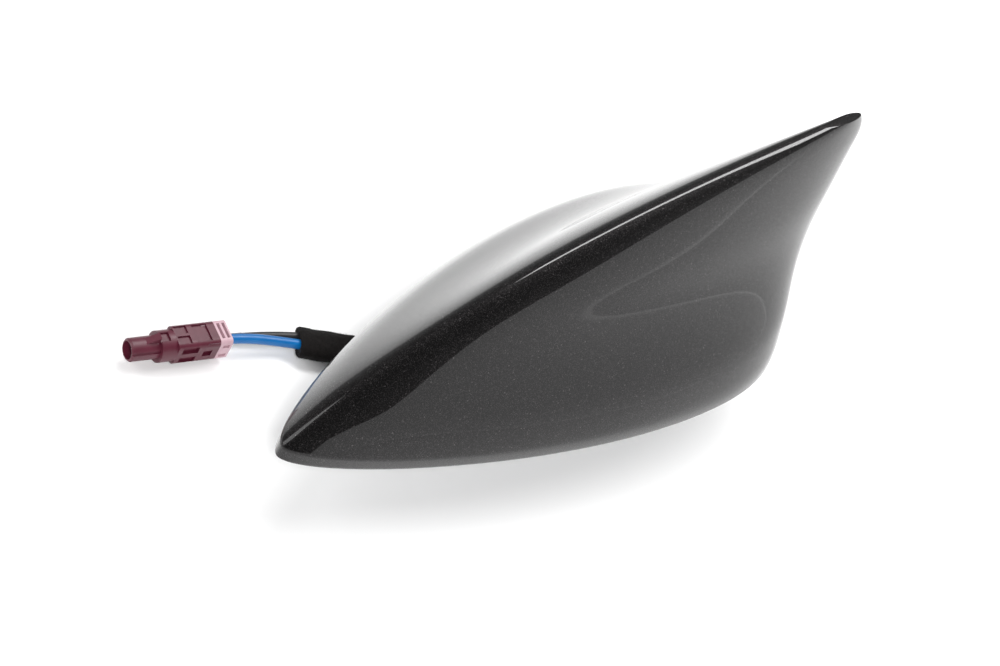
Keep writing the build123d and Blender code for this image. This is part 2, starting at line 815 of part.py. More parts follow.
with BuildPart() as connector_pin:
    with BuildSketch(station(ferrule_end - 1.0)):
        Circle(pin_radius)
    extrude(amount=nose_end - ferrule_end - 2.5)
save(connector_pin.part, "contact_pin")

cap_dir = (Vector(*BLACK_ROUTE[-1]) - Vector(*BLACK_ROUTE[-2])).normalized()
with BuildPart() as lead_end_cap:
    with BuildSketch(Plane(origin=Vector(*BLACK_ROUTE[-1]), z_dir=cap_dir)):
        Circle(end_cap_radius)
    extrude(amount=end_cap_length)
save(lead_end_cap.part, "lead_end_cap")
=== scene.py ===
"""Looks of a shark-fin roof antenna: painted cover, foot, boards, two leads and a plug.

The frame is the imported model's: the origin is on the clamp bolt's axis in the roof plane,
+Z leaves the roof, and +X runs from the nose to the tail. The cover and the leads are given
in millimetres, and everything else in metres.
"""

import logging
import math
import random
from dataclasses import dataclass
from enum import Enum

import bpy
from mathutils import Matrix, Vector


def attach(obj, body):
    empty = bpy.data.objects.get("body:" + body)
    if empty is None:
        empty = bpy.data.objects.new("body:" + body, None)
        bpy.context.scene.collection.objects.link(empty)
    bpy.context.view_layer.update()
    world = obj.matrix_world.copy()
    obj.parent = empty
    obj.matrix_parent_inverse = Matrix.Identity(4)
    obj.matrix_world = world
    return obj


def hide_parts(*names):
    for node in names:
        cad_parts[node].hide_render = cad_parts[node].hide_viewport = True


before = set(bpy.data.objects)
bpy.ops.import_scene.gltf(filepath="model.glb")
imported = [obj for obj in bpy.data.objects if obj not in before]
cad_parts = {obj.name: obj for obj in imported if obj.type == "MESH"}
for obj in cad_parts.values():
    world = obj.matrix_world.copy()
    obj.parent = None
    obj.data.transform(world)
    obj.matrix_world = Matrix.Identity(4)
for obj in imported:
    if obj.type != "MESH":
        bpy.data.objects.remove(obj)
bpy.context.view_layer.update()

log = logging.getLogger("antenna")
Point = tuple[float, float, float]
Colour = tuple[float, float, float, float]
MM = 0.001
# Depths of the finishes' relief, in metres.
FLAKE_DEPTH = 0.00005
SPARK_DEPTH = 0.00005
DRAWING_DEPTH = 0.00004
WEAVE_DEPTH = 0.00003
FLEECE_DEPTH = 0.0004
JACKET_DEPTH = 0.00003
# Scale of the brick pattern that draws the copper runs.
COPPER_RUNS = 260.0
# Angles in degrees above which an edge stays hard.
COVER_EDGE = 50.0
WRAP_EDGE = 60.0
HARDWARE_EDGE = 32.0
MEASURE_STEPS = 40


def rgb(red: float, green: float, blue: float) -> Colour:
    """Return a linear colour with full alpha."""
    return (red, green, blue, 1.0)


class Kind(Enum):
    """How a finish is built."""

    PAINT = "paint"
    MOULDING = "moulding"
    METAL = "metal"
    RUBBER = "rubber"
    BOARD = "board"
    FLEECE = "fleece"
    JACKET = "jacket"


class Socket:
    """A node output that builds Math nodes from Python operators."""

    def __init__(self, tree: bpy.types.NodeTree, link: bpy.types.NodeSocket) -> None:
        """Keep the tree and the output."""
        self.tree = tree
        self.link = link

    def math(self, operation: str, other: "Socket | float") -> "Socket":
        """Add one Math node.

        Args:
            operation: the Math node's operation.
            other: the second value or output.

        Returns:
            The result as a socket.
        """
        node = self.tree.nodes.new("ShaderNodeMath")
        node.operation = operation
        self.tree.links.new(self.link, node.inputs[0])
        if isinstance(other, Socket):
            self.tree.links.new(other.link, node.inputs[1])
        else:
            node.inputs[1].default_value = other
        return Socket(self.tree, node.outputs[0])

    def __add__(self, other: "Socket | float") -> "Socket":
        """Add."""
        return self.math("ADD", other)

    def __mul__(self, other: "Socket | float") -> "Socket":
        """Multiply."""
        return self.math("MULTIPLY", other)


class Graph:
    """A material's node tree with its main shader."""

    def __init__(self, name: str) -> None:
        """Make a material of that name with a Principled shader."""
        self.material = bpy.data.materials.new(name)
        self.material.use_nodes = True
        self.tree = self.material.node_tree
        self.shader = self.tree.nodes["Principled BSDF"]

    def node(self, kind: str, settings: dict | None = None, **inputs: object) -> bpy.types.Node:
        """Add one node.

        Args:
            kind: the node's type.
            settings: attributes that are set first.
            inputs: values or sockets, by input name with spaces as underscores.

        Returns:
            The node.
        """
        made = self.tree.nodes.new(kind)
        for key, value in (settings or {}).items():
            setattr(made, key, value)
        for key, value in inputs.items():
            self.feed(made.inputs[key.replace("_", " ")], value)
        return made

    def feed(self, target: bpy.types.NodeSocket, value: object) -> None:
        """Link a socket to an input, or set the input's value."""
        if isinstance(value, Socket):
            self.tree.links.new(value.link, target)
        elif isinstance(value, bpy.types.NodeSocket):
            self.tree.links.new(value, target)
        else:
            target.default_value = value

    def place(self) -> Socket:
        """Return the Object coordinates."""
        return Socket(self.tree, self.node("ShaderNodeTexCoord").outputs["Object"])

    def noise(self, scale: float, detail: float = 3.0, rough: float = 0.55) -> Socket:
        """Return fractal noise on Object coordinates."""
        made = self.node(
            "ShaderNodeTexNoise", Vector=self.place(), Scale=scale, Detail=detail, Roughness=rough
        )
        return Socket(self.tree, made.outputs["Fac"])

    def cells(self, scale: float) -> Socket:
        """Return one random value per small cell."""
        made = self.node("ShaderNodeTexVoronoi", Vector=self.place(), Scale=scale)
        grey = self.node("ShaderNodeSeparateColor", Color=made.outputs["Color"])
        return Socket(self.tree, grey.outputs["Red"])

    def ramp(self, value: Socket, low: float, high: float, first: float, last: float) -> Socket:
        """Map a range of a value onto another, held at both ends."""
        made = self.node(
            "ShaderNodeMapRange",
            Value=value,
            From_Min=low,
            From_Max=high,
            To_Min=first,
            To_Max=last,
        )
        return Socket(self.tree, made.outputs["Result"])

    def blend(self, share: Socket, first: Colour | Socket, second: Colour | Socket) -> Socket:
        """Mix two colours by a value."""
        made = self.node("ShaderNodeMix", {"data_type": "RGBA"})
        self.feed(made.inputs["Factor"], share)
        self.feed(made.inputs[6], first)
        self.feed(made.inputs[7], second)
        return Socket(self.tree, made.outputs[2])

    def bump(self, height: Socket, strength: float, distance: float) -> None:
        """Feed a Bump node to the shader's normal."""
        made = self.node("ShaderNodeBump", Height=height, Strength=strength, Distance=distance)
        self.feed(self.shader.inputs["Normal"], made.outputs["Normal"])

    def set(self, **inputs: object) -> None:
        """Set or link inputs of the main shader."""
        for key, value in inputs.items():
            self.feed(self.shader.inputs[key.replace("_", " ")], value)


@dataclass(frozen=True)
class Finish:
    """One finish: its colour, its gloss and the grain of its surface."""

    name: str
    kind: Kind
    colour: Colour
    second: Colour
    roughness: float = 0.5
    metallic: float = 0.0
    grain: float = 900.0
    relief: float = 0.15
    coat: float = 0.0

    def build(self) -> bpy.types.Material:
        """Return the material, made once per name."""
        title = f"{self.name}_finish"
        known = bpy.data.materials.get(title)
        if known:
            return known
        graph = Graph(title)
        {
            Kind.PAINT: self._paint,
            Kind.MOULDING: self._plain,
            Kind.METAL: self._metal,
            Kind.RUBBER: self._plain,
            Kind.BOARD: self._board,
            Kind.FLEECE: self._fleece,
            Kind.JACKET: self._jacket,
        }[self.kind](graph)
        return graph.material

    def _paint(self, graph: Graph) -> None:
        """Fine metal flakes under a clear coat."""
        flake = graph.cells(self.grain)
        glint = graph.cells(self.grain * 0.45)
        cloud = graph.noise(60.0, 2.0)
        base = graph.blend(graph.ramp(cloud, 0.3, 0.7, 0.0, 0.010), self.colour, self.second)
        share = graph.ramp(flake, 0.80, 1.0, 0.0, 0.24) + graph.ramp(glint, 0.985, 1.0, 0.0, 0.30)
        graph.set(
            Base_Color=graph.blend(share, base, self.second),
            Metallic=self.metallic,
            Roughness=graph.ramp(flake, 0.0, 1.0, self.roughness, self.roughness + 0.08),
            Coat_Weight=self.coat,
            Coat_Roughness=0.02,
            Coat_IOR=1.36,
        )
        graph.bump(flake, self.relief, FLAKE_DEPTH)

    def _mottled(self, graph: Graph, spots: Socket, low: float = 0.35, high: float = 0.7) -> Socket:
        """Return the two colours mixed by a noise, between two of its levels."""
        return graph.blend(graph.ramp(spots, low, high, 0.0, 1.0), self.colour, self.second)

    def _plain(self, graph: Graph) -> None:
        """Moulded plastic or rubber with a fine spark grain."""
        coarse = graph.noise(self.grain * 0.12, 3.0)
        fine = graph.noise(self.grain, 4.0, 0.65)
        graph.set(
            Base_Color=self._mottled(graph, coarse),
            Roughness=graph.ramp(fine, 0.3, 0.7, self.roughness - 0.06, self.roughness + 0.08),
            Metallic=self.metallic,
        )
        graph.bump(fine, self.relief, SPARK_DEPTH)

    def _metal(self, graph: Graph) -> None:
        """Cast, plated or drawn metal with faint drawing marks and dull spots."""
        lines = graph.node("ShaderNodeMapping", Vector=graph.place(), Scale=(0.12, 1.0, 1.0))
        marks = graph.node(
            "ShaderNodeTexNoise", Vector=lines.outputs[0], Scale=self.grain * 2.0, Detail=4.0
        )
        mark = Socket(graph.tree, marks.outputs["Fac"])
        dull = graph.noise(self.grain * 0.15, 3.0)
        graph.set(
            Base_Color=self._mottled(graph, dull),
            Roughness=graph.ramp(mark, 0.3, 0.7, self.roughness - 0.08, self.roughness + 0.10),
            Metallic=self.metallic,
        )
        graph.bump(mark, self.relief, DRAWING_DEPTH)

    def _board(self, graph: Graph) -> None:
        """Solder resist over a woven laminate with faint copper runs."""
        weave = graph.node(
            "ShaderNodeTexWave", {"wave_type": "BANDS", "bands_direction": "DIAGONAL"},
            Vector=graph.place(), Scale=self.grain, Distortion=2.0,
        )
        run = graph.node(
            "ShaderNodeTexBrick", Vector=graph.place(), Scale=COPPER_RUNS, Mortar_Size=0.05,
            Color1=rgb(0, 0, 0), Color2=rgb(0, 0, 0), Mortar=rgb(1, 1, 1),
        )
        graph.set(
            Base_Color=graph.blend(Socket(graph.tree, run.outputs["Fac"]), self.colour, self.second),
            Roughness=graph.ramp(graph.noise(900.0), 0.3, 0.7, 0.26, 0.42),
        )
        graph.bump(Socket(graph.tree, weave.outputs["Fac"]), self.relief, WEAVE_DEPTH)

    def _fleece(self, graph: Graph) -> None:
        """Matted short fibres with lint."""
        fibre = graph.noise(self.grain, 6.0, 0.8)
        clump = graph.noise(self.grain * 0.22, 4.0, 0.6)
        graph.set(
            Base_Color=self._mottled(graph, fibre, 0.45, 0.75),
            Roughness=0.95,
            Sheen_Weight=0.06,
            Sheen_Roughness=0.5,
            Specular_IOR_Level=0.1,
        )
        graph.bump(fibre * 0.5 + clump * 0.8, self.relief, FLEECE_DEPTH)

    def _jacket(self, graph: Graph) -> None:
        """Extruded cable jacket with faint fine marks and smudges."""
        smear = graph.noise(260.0, 3.0)
        fine = graph.noise(self.grain, 3.0)
        graph.set(
            Base_Color=self._mottled(graph, smear),
            Roughness=graph.ramp(fine, 0.3, 0.7, self.roughness - 0.05, self.roughness + 0.08),
        )
        graph.bump(fine, self.relief, JACKET_DEPTH)


PAINT = Finish(
    "cover_paint", Kind.PAINT, rgb(0.0022, 0.0017, 0.0019), rgb(0.26, 0.24, 0.245),
    roughness=0.40, metallic=0.9, grain=9000.0, relief=0.25, coat=1.0,
)
CAST = Finish(
    "die_cast", Kind.METAL, rgb(0.50, 0.51, 0.52), rgb(0.40, 0.41, 0.42),
    roughness=0.5, metallic=0.9, grain=700.0, relief=0.25,
)
SEAL = Finish(
    "seal_rubber", Kind.RUBBER, rgb(0.012, 0.012, 0.012), rgb(0.022, 0.022, 0.022),
    roughness=0.62, metallic=0.0, grain=1500.0, relief=0.2,
)
FOAM = Finish(
    "foam", Kind.RUBBER, rgb(0.02, 0.02, 0.022), rgb(0.05, 0.05, 0.052),
    roughness=0.9, metallic=0.0, grain=2600.0, relief=0.9,
)
BLACK = Finish(
    "black_plastic", Kind.MOULDING, rgb(0.014, 0.014, 0.014), rgb(0.024, 0.024, 0.024),
    roughness=0.45, metallic=0.0, grain=1800.0, relief=0.2,
)
STEEL = Finish(
    "steel", Kind.METAL, rgb(0.62, 0.62, 0.60), rgb(0.52, 0.53, 0.50),
    roughness=0.3, metallic=1.0, grain=1200.0, relief=0.12,
)
SPRING = Finish(
    "spring_steel", Kind.METAL, rgb(0.40, 0.41, 0.43), rgb(0.30, 0.31, 0.34),
    roughness=0.28, metallic=1.0, grain=1600.0, relief=0.12,
)
BOARD = Finish(
    "circuit_board", Kind.BOARD, rgb(0.012, 0.12, 0.05), rgb(0.02, 0.2, 0.085),
    roughness=0.35, metallic=0.0, grain=2400.0, relief=0.3,
)
CERAMIC = Finish(
    "ceramic", Kind.MOULDING, rgb(0.45, 0.36, 0.26), rgb(0.52, 0.43, 0.32),
    roughness=0.6, metallic=0.0, grain=1400.0, relief=0.2,
)
SILVER = Finish(
    "silvering", Kind.METAL, rgb(0.80, 0.80, 0.78), rgb(0.7, 0.7, 0.67),
    roughness=0.25, metallic=1.0, grain=1800.0, relief=0.08,
)
BRASS = Finish(
    "brass", Kind.METAL, rgb(0.80, 0.60, 0.28), rgb(0.7, 0.5, 0.2),
    roughness=0.22, metallic=1.0, grain=1500.0, relief=0.08,
)
TIN = Finish(
    "tinplate", Kind.METAL, rgb(0.68, 0.68, 0.66), rgb(0.58, 0.58, 0.56),
    roughness=0.28, metallic=1.0, grain=1300.0, relief=0.1,
)
COPPER = Finish(
    "copper", Kind.METAL, rgb(0.78, 0.42, 0.25), rgb(0.66, 0.32, 0.18),
    roughness=0.3, metallic=1.0, grain=1300.0, relief=0.1,
)
BLUE = Finish(
    "blue_jacket", Kind.JACKET, rgb(0.0005, 0.105, 0.32), rgb(0.0015, 0.125, 0.36),
    roughness=0.36, metallic=0.0, grain=1400.0, relief=0.08,
)
JET = Finish(
    "black_jacket", Kind.JACKET, rgb(0.008, 0.008, 0.009), rgb(0.014, 0.014, 0.016),
    roughness=0.4, metallic=0.0, grain=1400.0, relief=0.08,
)
FLEECE = Finish(
    "fleece", Kind.FLEECE, rgb(0.0035, 0.0030, 0.0030), rgb(0.018, 0.014, 0.013),
    roughness=0.95, metallic=0.0, grain=2600.0, relief=0.9,
)
WINE = Finish(
    "wine_plastic", Kind.MOULDING, rgb(0.074, 0.0095, 0.021), rgb(0.090, 0.013, 0.027),
    roughness=0.42, metallic=0.0, grain=2200.0, relief=0.15,
)
PINK = Finish(
    "pink_plastic", Kind.MOULDING, rgb(0.46, 0.30, 0.34), rgb(0.52, 0.35, 0.39),
    roughness=0.45, metallic=0.0, grain=2200.0, relief=0.12,
)
WHITE = Finish(
    "white_plastic", Kind.MOULDING, rgb(0.78, 0.78, 0.74), rgb(0.70, 0.70, 0.66),
    roughness=0.4, metallic=0.0, grain=1800.0, relief=0.1,
)
FLOOR = Finish(
    "studio_floor", Kind.MOULDING, rgb(0.92, 0.92, 0.92), rgb(0.91, 0.91, 0.91),
    roughness=0.9, metallic=0.0, grain=40.0, relief=0.0,
)

NODE_FINISH: dict[str, Finish] = {
    "base_plate": CAST,
    "perimeter_seal": SEAL,
    "neck_seal": FOAM,
    "cable_grommet": SEAL,
    "vent_plug": BLACK,
    "claw_plate": STEEL,
    "claw_leg_far": SPRING,
    "claw_leg_near": SPRING,
    "clamp_bolt": STEEL,
    "bolt_retainer": SPRING,
    "main_board": BOARD,
    "ceramic_patch": CERAMIC,
    "patch_electrode": SILVER,
    "patch_feed_pin": BRASS,
    "shield_can": TIN,
    "board_chips": BLACK,
    "fin_board": BOARD,
    "fin_radiator": COPPER,
    "fin_clips": TIN,
    "cover_screws": STEEL,
    "board_screws": STEEL,
    "lead_collars": TIN,
    "lead_end_cap": JET,
    "connector_housing": WINE,
    "latch_ramp": WINE,
    "connector_lock": PINK,
    "connector_ferrule": TIN,
    "contact_shell": TIN,
    "contact_insulator": WHITE,
    "contact_pin": BRASS,
}


def deselect() -> None:
    """Deselect everything."""
    bpy.ops.object.select_all(action="DESELECT")


def smooth(piece: bpy.types.Object, degrees: float) -> None:
    """Shade a piece smooth with hard edges kept above an angle."""
    deselect()
    piece.select_set(True)
    bpy.context.view_layer.objects.active = piece
    bpy.ops.object.shade_smooth_by_angle(angle=math.radians(degrees))
    deselect()


def mesh_piece(
    name: str, points: list[Point], faces: list[tuple[int, ...]], finish: Finish
) -> bpy.types.Object:
    """Make one mesh object at the origin.

    Args:
        name: the piece's name.
        points: its vertices in metres.
        faces: its faces, wound outwards.
        finish: its finish.

    Returns:
        The object, linked and dressed.
    """
    mesh = bpy.data.meshes.new(name)
    mesh.from_pydata(points, [], faces)
    mesh.validate()
    mesh.update()
    piece = bpy.data.objects.new(name, mesh)
    bpy.context.scene.collection.objects.link(piece)
    mesh.materials.append(finish.build())
    return piece


@dataclass
class Cover:
    """The painted cover, drawn from its ridge, its tail edge and its waterlines, in mm."""

    length: float = 179.3
    width: float = 70.4
    height: float = 63.1
    wall: float = 2.4
    nose_x: float = -92.0
    rim_z: float = 0.8
    tip_cut: float = 2.5
    tip_round: float = 4.3
    # Control points: share of the length from the nose, share of the height.
    ridge: tuple = ((0.0, 0.065), (0.3094, 0.910), (0.8176, 0.895), (1.0, 1.0))
    tail: tuple = ((1.0, 1.0), (1.0328, 0.558), (0.9400, 0.303), (0.9308, 0.0))
    # Share of the height, share of the half width.
    widths: tuple = (
        (0.0, 1.0), (0.063, 0.983), (0.127, 0.930), (0.19, 0.860), (0.27, 0.736), (0.365, 0.592),
        (0.475, 0.461), (0.602, 0.352), (0.745, 0.225), (0.887, 0.100), (0.975, 0.026),
    )
    # Fullness at the nose, fore handle, aft handle, fullness at the tail, place of the widest point.
    rim_curve: tuple = (0.213, 0.441, 0.82, 0.62, 0.746)
    top_curve: tuple = (0.55, 0.55, 0.55, 0.55, 0.50)
    rows: int = 120
    columns: int = 96
    nose_crowding: float = 1.25
    top_crowding: float = 1.15
    nose_inset: float = 1.5
    tip_start: float = 0.82
    edge_inset: float = 0.35
    edge_height: float = 0.25
    lip_width: float = 2.0
    inner_narrowing: float = 0.97
    inner_shares: tuple = (0.02, 0.06, 0.11, 0.17, 0.25, 0.34, 0.44, 0.55, 0.66, 0.72)
    halvings: int = 44
    sweeps: int = 60

    @staticmethod
    def cubic(points: tuple, t: float) -> tuple[float, float]:
        """Return a point on a cubic curve."""
        s = 1 - t
        k = (s**3, 3 * s * s * t, 3 * s * t * t, t**3)
        return tuple(sum(w * p[i] for w, p in zip(k, points)) for i in (0, 1))

    def share_at(self, points: tuple, h: float) -> float:
        """Return the length share where a curve reaches height share h."""
        low, high = 0.0, 1.0
        rising = points[-1][1] > points[0][1]
        for _ in range(self.halvings):
            mid = (low + high) / 2
            if (self.cubic(points, mid)[1] < h) == rising:
                low = mid
            else:
                high = mid
        return self.cubic(points, low)[0]

    def __post_init__(self) -> None:
        """Work out the slopes that make the width curve's bend run on through its entries."""
        heights = [h for h, _ in self.widths]
        steps = [b - a for a, b in zip(heights, heights[1:])]
        rises = [(b[1] - a[1]) / d for a, b, d in zip(self.widths, self.widths[1:], steps)]
        slopes = [0.0] + [(a + b) / 2 for a, b in zip(rises, rises[1:])] + [rises[-1]]
        for _ in range(self.sweeps):
            for k in range(1, len(slopes) - 1):
                before, after = steps[k - 1], steps[k]
                pull = 3 * (after * rises[k - 1] + before * rises[k])
                pull -= after * slopes[k - 1] + before * slopes[k + 1]
                slopes[k] = pull / (2 * (before + after))
        self.slopes = slopes

    def width_share(self, h: float) -> float:
        """Return the half-width share at height share h."""
        table = self.widths
        i = max(k for k in range(len(table) - 1) if table[k][0] <= h or k == 0)
        (h0, w0), (h1, w1) = table[i], table[i + 1]
        d = h1 - h0
        t = min((h - h0) / d, 1.0)
        return (
            (2 * t**3 - 3 * t**2 + 1) * w0 + (t**3 - 2 * t**2 + t) * d * self.slopes[i]
            + (3 * t**2 - 2 * t**3) * w1 + (t**3 - t**2) * d * self.slopes[i + 1]
        )

    def waterline(self, h: float, inset: float = 0.0) -> list[tuple[float, float]]:
        """Return one closed waterline, from the nose along the far side to the tail and back.

        Args:
            h: height share.
            inset: how far the line is set in, in mm.

        Returns:
            Points (x, y) in mm, in order round the line.
        """
        nose = 0.0 if h <= self.ridge[0][1] else self.share_at(self.ridge, h)
        reach = self.share_at(self.tail, h)
        tip_share = (h - self.tip_start) / (1 - self.tip_start - self.tip_cut / self.height)
        cut = self.tip_round * max(0.0, tip_share) ** 2
        curve = [a + (b - a) * h for a, b in zip(self.rim_curve, self.top_curve)]
        front = self.nose_x + nose * self.length + inset * self.nose_inset
        rear = self.nose_x + reach * self.length - cut - inset
        half = self.width / 2 * self.width_share(h) - inset
        wide = front + curve[4] * (rear - front)
        fore, aft = wide - front, rear - wide
        nose_side = ((front, 0.0), (front, curve[0] * half), (wide - curve[1] * fore, half), (wide, half))
        tail_side = ((wide, half), (wide + curve[2] * aft, half), (rear, curve[3] * half), (rear, 0.0))
        n = self.columns // 2
        far = [self.cubic(nose_side, (k / n) ** self.nose_crowding) for k in range(n)]
        far += [self.cubic(tail_side, k / n) for k in range(n + 1)]
        near = [(x, -y) for x, y in reversed(far[1:-1])]
        return far + near

    def heights(self) -> list[float]:
        """Return the height shares of the rows, which lie closer towards the top."""
        top = 1.0 - self.tip_cut / self.height
        return [top * (1 - (1 - k / self.rows) ** self.top_crowding) for k in range(self.rows + 1)]

    def build(self) -> bpy.types.Object:
        """Build the cover as one closed skin: outer wall, top, inner wall and inner top."""
        points: list[Point] = []
        faces: list[tuple[int, ...]] = []

        def ring(line: list[tuple[float, float]], z: float) -> int:
            """Add one ring of points and return where it starts."""
            start = len(points)
            points.extend((x * MM, y * MM, z * MM) for x, y in line)
            return start

        def join(a: int, b: int, count: int) -> None:
            """Join two rings with quads that face out of the cover."""
            for k in range(count):
                m = (k + 1) % count
                faces.append((a + k, b + k, b + m, a + m))

        count = len(self.waterline(0.0))
        starts = [ring(self.waterline(0.0, self.edge_inset), self.rim_z)]
        for index, h in enumerate(self.heights()):
            rise = h * self.height if index else self.edge_height
            starts.append(ring(self.waterline(h), self.rim_z + rise))
        for a, b in zip(starts, starts[1:]):
            join(a, b, count)
        self._cap(faces, starts[-1], count, up=True)
        inner = [ring(self.waterline(0.0, self.lip_width), self.rim_z)]
        for h in self.inner_shares:
            line = [(x, y * self.inner_narrowing) for x, y in self.waterline(h, self.wall)]
            inner.append(ring(line, self.rim_z + h * self.height))
        join(inner[0], starts[0], count)
        for a, b in zip(inner, inner[1:]):
            join(b, a, count)
        self._cap(faces, inner[-1], count, up=False)
        cover = mesh_piece("painted_cover", points, faces, PAINT)
        smooth(cover, COVER_EDGE)
        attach(cover, "antenna")
        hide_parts("cover_shell")
        return cover

    @staticmethod
    def _cap(faces: list[tuple[int, ...]], start: int, count: int, up: bool) -> None:
        """Close a ring with flat strips across it, which face up or down."""
        half = count // 2
        for k in range(half - 1):
            a, b = start + k, start + k + 1
            c, d = start + (count - k - 1) % count, start + (count - k) % count
            quad = (a, d, c, b) if k else (a, c, b)
            faces.append(quad if up else tuple(reversed(quad)))
        k = half - 1
        last = (start + k, start + k + 2, start + k + 1)
        faces.append(last if up else tuple(reversed(last)))


@dataclass
class Leads:
    """The blue and the black lead, their wrap and what is on them, in mm."""

    diameter: float = 2.5
    blue: tuple = (
        (-6.5, -1.7, 8.4), (-6.5, -1.7, -14.2), (-28.3, 17.0, -14.2),
        (-54.3, 33.0, -14.2), (-68.41, 39.02, -12.4), (-78.44, 41.37, -12.4),
    )
    black: tuple = (
        (-6.5, 1.7, 8.4), (-6.5, 1.7, -14.2), (-26.7, 19.6, -14.2),
        (-52.7, 35.6, -14.2), (-65.5, 40.2, -15.6),
    )
    wrap_length: float = 27.0
    wrap_width: float = 9.2
    wrap_height: float = 4.4
    wrap_shift: float = 1.0
    wrap_rings: int = 64
    wrap_columns: int = 72
    wrap_squareness: float = 2.7
    mouth_share: float = 0.62
    mouth_depth: float = 0.35
    fibres: int = 5200
    fibre_half_width: float = 0.022
    seed: int = 11

    def lead(self, name: str, route: tuple, finish: Finish, node: str) -> bpy.types.Object:
        """Make one lead as a single open spline guided by its control points."""
        curve = bpy.data.curves.new(name, "CURVE")
        curve.dimensions = "3D"
        curve.bevel_depth = self.diameter / 2 * MM
        curve.bevel_resolution = 10
        curve.use_fill_caps = True
        spline = curve.splines.new("NURBS")
        spline.points.add(len(route) - 1)
        for point, place in zip(spline.points, route):
            point.co = (place[0] * MM, place[1] * MM, place[2] * MM, 1.0)
        spline.order_u = 3
        spline.use_endpoint_u = True
        spline.resolution_u = 24
        piece = bpy.data.objects.new(name, curve)
        bpy.context.scene.collection.objects.link(piece)
        curve.materials.append(finish.build())
        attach(piece, "antenna")
        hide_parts(node)
        return piece

    @staticmethod
    def measured(route: tuple) -> float:
        """Return the length in metres of the quadratic spline guided by a route's points."""
        n = len(route)
        points = [Vector(p) * MM for p in route]
        pieces = []
        for i in range(n - 2):
            a = points[0] if i == 0 else (points[i] + points[i + 1]) / 2
            b = points[n - 1] if i == n - 3 else (points[i + 1] + points[i + 2]) / 2
            pieces.append((a, points[i + 1], b))
        total = 0.0
        for a, m, b in pieces:
            last = a
            for k in range(1, MEASURE_STEPS + 1):
                t = k / MEASURE_STEPS
                here = a * (1 - t) ** 2 + m * 2 * t * (1 - t) + b * t * t
                total += (here - last).length
                last = here
        return total

    def wrap(self) -> bpy.types.Object:
        """Make the fleece wrap: a soft sleeve with ragged ends and loose fibres."""
        dice = random.Random(self.seed)
        end = (Vector(self.blue[3]) + Vector(self.black[3])) / 2
        start = Vector(self.blue[2])
        along = (Vector(self.blue[3]) - start).normalized()
        side = along.cross(Vector((0, 0, 1))).normalized()
        up = side.cross(along)
        end = end - along * self.wrap_shift - side * self.wrap_shift
        points: list[Point] = []
        faces: list[tuple[int, ...]] = []
        rings, count = self.wrap_rings, self.wrap_columns
        half_w, half_h = self.wrap_width / 2, self.wrap_height / 2

        def section(angle: float, grow: float) -> tuple[float, float]:
            """Return one point of the sleeve's rounded section."""
            c, s = math.cos(angle), math.sin(angle)
            power = 2 / self.wrap_squareness
            x = math.copysign(abs(c) ** power, c) * half_w * grow
            y = math.copysign(abs(s) ** power, s) * half_h * grow
            return x, y

        def at(distance: float, x: float, y: float) -> Point:
            """Return a point a distance back from the wrap's free end."""
            place = (end - along * distance + side * x + up * y) * MM
            return (place.x, place.y, place.z)

        swell = [dice.uniform(-1, 1) for _ in range(40)]
        for i in range(rings + 1):
            share = i / rings
            distance = share * self.wrap_length
            for k in range(count):
                angle = 2 * math.pi * k / count
                lump = swell[(i // 3 + k // 9) % len(swell)]
                lap = 0.018 * math.sin(distance * 0.9 + angle) + 0.012 * lump
                grow = 0.965 + lap + 0.012 * dice.uniform(-1, 1)
                if i in (0, rings):
                    grow *= 0.95
                x, y = section(angle, grow)
                ragged = dice.uniform(-0.12, 0.12) if i in (0, rings) else 0.0
                points.append(at(distance + ragged, x, y))
        for i in range(rings):
            for k in range(count):
                m = (k + 1) % count
                a, b = i * count, (i + 1) * count
                faces.append((a + k, a + m, b + m, b + k))
        for start_ring, flip, distance in ((0, True, 0.0), (rings * count, False, self.wrap_length)):
            mouth = []
            depth = self.mouth_depth if flip else -self.mouth_depth
            for k in range(count):
                x, y = section(2 * math.pi * k / count, self.mouth_share)
                points.append(at(distance + depth, x, y))
                mouth.append(len(points) - 1)
            for k in range(count):
                m = (k + 1) % count
                quad = (start_ring + k, mouth[k], mouth[m], start_ring + m)
                faces.append(quad if flip else tuple(reversed(quad)))
            faces.append(tuple(reversed(mouth)) if flip else tuple(mouth))
        sleeve = len(points)
        for _ in range(self.fibres):
            distance = dice.uniform(-0.05, self.wrap_length)
            angle = dice.uniform(0, 2 * math.pi)
            x, y = section(angle, 0.97)
            out = Vector((x / half_w**2, y / half_h**2)).normalized()
            root = Vector(at(distance, x, y))
            lean = side * out.x + up * out.y
            stray = along * dice.uniform(-0.9, 0.9)
            stray += side * dice.uniform(-0.5, 0.5)
            stray += up * dice.uniform(-0.5, 0.5)
            lean += stray
            tip = root + lean.normalized() * dice.uniform(0.18, 0.55) * MM
            across = lean.cross(along).normalized() * self.fibre_half_width * MM
            base = len(points)
            points.extend([tuple(root - across), tuple(root + across), tuple(tip)])
            faces.append((base, base + 1, base + 2))
        log.info("wrap: %d points on the sleeve, %d fibres", sleeve, self.fibres)
        wrap = mesh_piece("fleece_sleeve", points, faces, FLEECE)
        smooth(wrap, WRAP_EDGE)
        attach(wrap, "antenna")
        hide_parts("fleece_wrap")
        return wrap

    def build(self) -> list[bpy.types.Object]:
        blue = self.lead("blue_coax", self.blue, BLUE, "blue_lead")
        black = self.lead("black_coax", self.black, JET, "black_lead")
        wrap = self.wrap()
        on_blue = [wrap] + [
            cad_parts[name]
            for name in (
                "connector_housing", "latch_ramp", "connector_lock", "connector_ferrule",
                "contact_shell", "contact_insulator", "contact_pin",
            )
        ]
        self.measured(self.blue)
        self.measured(self.black)
        return [blue, black, wrap]


